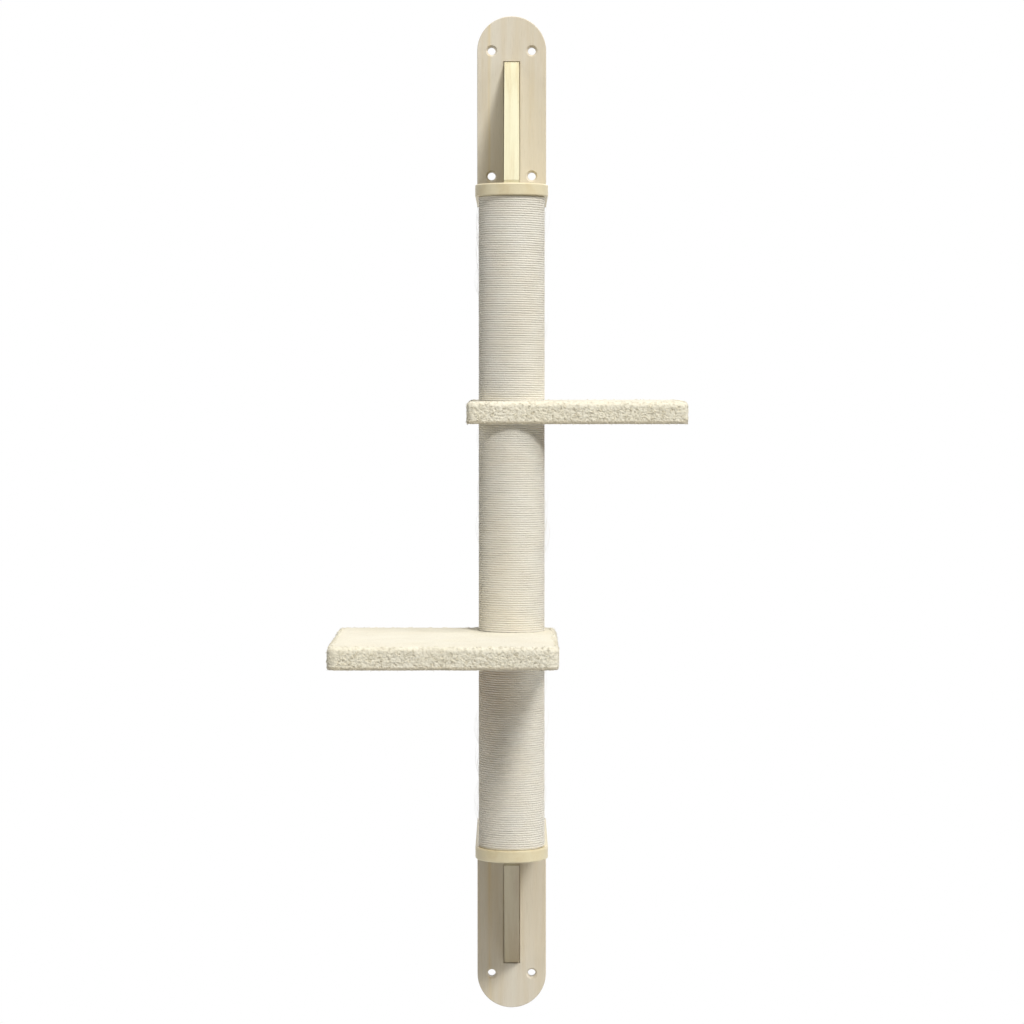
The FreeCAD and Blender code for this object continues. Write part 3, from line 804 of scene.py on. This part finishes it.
def make_curls(side, spots, normals, material):
    """Single curls of the pile that stand off a cover's sides and hang from its lower edge."""
    rng = random.Random(CURL_SEED + SIDES.index(side))
    vertices, faces, shares = [], [], []
    for index in rng.sample(range(len(spots)), CURLS):
        points = curl_path(rng, spots[index], normals[index])
        count = add_tube(vertices, faces, points, CURL_THICK, CURL_THIN, CURL_SIDES)
        # Random tone, and painted shade on the curls that hang from the lower edge.
        shade = rng.uniform(0.35, 0.8) - 0.3 * max(0.0, -normals[index].z)
        shares += [shade] * count
    curls = new_object(f"{side}_plush_curls", vertices, faces)
    set_pile_shade(curls, shares)
    dress(curls, material)
    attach(curls, "root")
    return curls


def make_cover(side, material):
    """The plush over one platform, with its post hole and curled pile."""
    node = f"{side}_platform_plush"
    low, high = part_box(node)
    height = high.z - low.z
    corner_cells = round((CORNER - TOP_ROUND) / CELL)
    across = round((high.x - low.x - 2 * TOP_ROUND) / CELL)
    along = round((high.y - low.y - 2 * TOP_ROUND) / CELL)
    columns = outline_columns(across, along, corner_cells)
    profile = cover_profile(height)
    spots, normals = skirt(columns, profile, low, high)
    faces = skirt_faces(len(profile), len(columns))
    last_row = len(spots) - len(columns)
    faces += top_grid(across, along, corner_cells, low, high, last_row, spots, normals)
    faces = [face for face in faces if outside_post(face, spots)]
    heights = [pile_height(spot, 1.0 - abs(normal.z)) for spot, normal in zip(spots, normals)]
    moved = displaced(spots, normals, heights, PRESSED_ROWS * len(columns), low, high)
    # Painted shade: the pile's height, lowered where the skin faces outward and down, darkens the
    # roots and the lower edge.
    heights_with_edge_shade = [lift - EDGE_SHADE * lower_edge(normal) for lift, normal in zip(heights, normals)]
    cover = keep_used(f"{side}_plush_cover", moved, faces, heights_with_edge_shade)
    dress(cover, material)
    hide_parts(node)
    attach(cover, "root")
    outward_rows = (row for row, step in enumerate(profile) if step[2] > CURL_LEAST_OUTWARD)
    first = next(outward_rows) * len(columns)
    last = last_row + len(columns)
    curls = make_curls(side, moved[first:last], normals[first:last], material)


# ---------------------------------------------------------------- stage, light and camera

FLOOR_RADIUS, FLOOR_DROP, FLOOR_STEPS = 1.5, 0.42, 96
LIGHT_ABOVE, LIGHT_BELOW = 0.03, 0.30
HORIZON_BLEND = 0.15
LAMP_TARGET = Vector((0.0, -0.2, -0.5))
FAR_LAMP_DISTANCE = 3.0
# Name, azimuth, elevation and spread in degrees, strength.
FAR_LAMPS = (
    ("key", 24, 42, 12, 1.84),
    ("right", 75, 25, 25, 0.98),
)
# Name, azimuth and elevation in degrees, distance and width in metres, watts.
SOFT_BOXES = (
    ("top", 20, 85, 2.8, 1.6, 29.0),
    ("crown", 25, 60, 3.2, 0.9, 20.0),
    ("left", -60, 22, 3.2, 1.6, 19.0),
    ("back", 170, 25, 3.2, 1.8, 16.0),
)
LENS, SENSOR_WIDTH, SHIFT_Y = 109.11, 36.0, -0.04
CAMERA_PLACE = (0.0004, -4.0780, -0.3399)
CAMERA_DOWN = 1.79


def make_stage():
    """A plain pale floor well below the tree."""
    level = cad_low.z - FLOOR_DROP
    points = [(0.0, POST_AXIS.y, level)]
    for index in range(FLOOR_STEPS):
        angle = math.tau * index / FLOOR_STEPS
        points.append((math.cos(angle) * FLOOR_RADIUS,
                       POST_AXIS.y + math.sin(angle) * FLOOR_RADIUS, level))
    faces = [(0, 1 + index, 1 + (index + 1) % FLOOR_STEPS) for index in range(FLOOR_STEPS)]
    floor = new_object("floor", points, faces, smooth=False)
    paint = Shader("pale_floor", 0.9)
    paint.colour(paint.ramp(paint.noise(paint.space.outputs["Object"], 2.0),
                            (0.3, (0.86, 0.86, 0.86)), (0.7, (0.88, 0.88, 0.88))))
    floor.data.materials.append(paint.material)


def make_world():
    """White where the camera looks, and soft light from above and below the horizon."""
    world = bpy.data.worlds.new("studio")
    bpy.context.scene.world = world
    world.use_nodes = True
    tree = world.node_tree
    add = tree.nodes.new
    link = tree.links.new
    light = tree.nodes["Background"]
    light.inputs["Color"].default_value = (*WHITE, 1.0)
    space = add("ShaderNodeTexCoord")
    split = add("ShaderNodeSeparateXYZ")
    level = add("ShaderNodeMapRange")
    level.inputs["From Min"].default_value = -HORIZON_BLEND
    level.inputs["From Max"].default_value = HORIZON_BLEND
    level.inputs["To Min"].default_value = LIGHT_BELOW
    level.inputs["To Max"].default_value = LIGHT_ABOVE
    link(space.outputs["Generated"], split.inputs[0])
    link(split.outputs["Z"], level.inputs["Value"])
    link(level.outputs[0], light.inputs["Strength"])
    white = add("ShaderNodeBackground")
    white.inputs["Color"].default_value = (*WHITE, 1.0)
    path = add("ShaderNodeLightPath")
    shown = path.outputs["Is Camera Ray"]
    for ray in ("Is Glossy Ray", "Is Transmission Ray"):
        either = add("ShaderNodeMath")
        either.operation = "MAXIMUM"
        link(shown, either.inputs[0])
        link(path.outputs[ray], either.inputs[1])
        shown = either.outputs[0]
    mix = add("ShaderNodeMixShader")
    link(shown, mix.inputs["Fac"])
    link(light.outputs[0], mix.inputs[1])
    link(white.outputs[0], mix.inputs[2])
    link(mix.outputs[0], tree.nodes["World Output"].inputs["Surface"])


def add_lamp(kind, name, azimuth, elevation, distance, strength):
    """A lamp that looks at the tree from an azimuth, 0 in front and 90 at the right."""
    turn, rise = math.radians(azimuth), math.radians(elevation)
    towards = Vector((math.sin(turn) * math.cos(rise), -math.cos(turn) * math.cos(rise),
                      math.sin(rise)))
    lamp = bpy.data.lights.new(name, kind)
    lamp.energy = strength
    obj = bpy.data.objects.new(name, lamp)
    bpy.context.scene.collection.objects.link(obj)
    obj.location = LAMP_TARGET + towards * distance
    obj.rotation_mode = "QUATERNION"
    obj.rotation_quaternion = towards.to_track_quat("Z", "Y")
    return lamp


def make_lights():
    """Distant lamps and square soft boxes round the tree."""
    for name, azimuth, elevation, spread, strength in FAR_LAMPS:
        lamp = add_lamp("SUN", name, azimuth, elevation, FAR_LAMP_DISTANCE, strength)
        lamp.angle = math.radians(spread)
    for name, azimuth, elevation, distance, width, watts in SOFT_BOXES:
        lamp = add_lamp("AREA", name, azimuth, elevation, distance, watts)
        lamp.shape = "SQUARE"
        lamp.size = width


def make_camera():
    """The photograph's view: almost level with the upper platform, looking slightly down."""
    camera = bpy.data.cameras.new("camera")
    camera.lens = LENS
    camera.sensor_width = SENSOR_WIDTH
    camera.shift_y = SHIFT_Y
    obj = bpy.data.objects.new("camera", camera)
    bpy.context.scene.collection.objects.link(obj)
    obj.location = CAMERA_PLACE
    obj.rotation_euler = (math.radians(90.0 - CAMERA_DOWN), 0.0, 0.0)
    bpy.context.scene.camera = obj


# ---------------------------------------------------------------- the whole scene

PLATE_WOOD = make_wood("plate_wood", ALONG_Z, linear(216, 208, 190), linear(213, 203, 183),
                       linear(210, 198, 174), vein=PLATE_VEIN)
ARM_WOOD = make_wood("arm_wood", ALONG_Y, linear(223, 211, 176), linear(221, 208, 172),
                     linear(217, 202, 163), coat=0.25)
PLUG_WOOD = make_wood("plug_wood", ALONG_Z, linear(206, 176, 132), linear(196, 164, 120),
                      linear(176, 142, 98))
SISAL = make_sisal()
PLUSH_PILE = make_plush()
CHIPBOARD = make_chipboard()
CARDBOARD = make_cardboard()
STEEL = make_steel()

for side in SIDES:
    dress(nodes[f"{side}_wall_plate"], PLATE_WOOD)
    dress(nodes[f"{side}_arm"], ARM_WOOD)
    dress(nodes[f"{side}_brace"], make_brace_wood(side))
    dress(nodes[f"{side}_platform_board"], CHIPBOARD)
    for kind in ("plate_screws", "arm_screws", "post_bolt", "platform_staples", "platform_stud"):
        dress(nodes[f"{side}_{kind}"], STEEL)
for section in SECTIONS:
    dress(nodes[f"{section}_post_tube"], CARDBOARD)
    dress(nodes[f"{section}_post_top_plug"], PLUG_WOOD)
    dress(nodes[f"{section}_post_bottom_plug"], PLUG_WOOD)
    dress(nodes[f"{section}_post_inserts"], STEEL)

for section in SECTIONS:
    make_winding(section, SISAL)
make_wisps(SISAL)
for side in SIDES:
    make_cover(side, PLUSH_PILE)

make_stage()
make_world()
make_lights()
make_camera()
bpy.context.scene.view_settings.view_transform = "Standard"
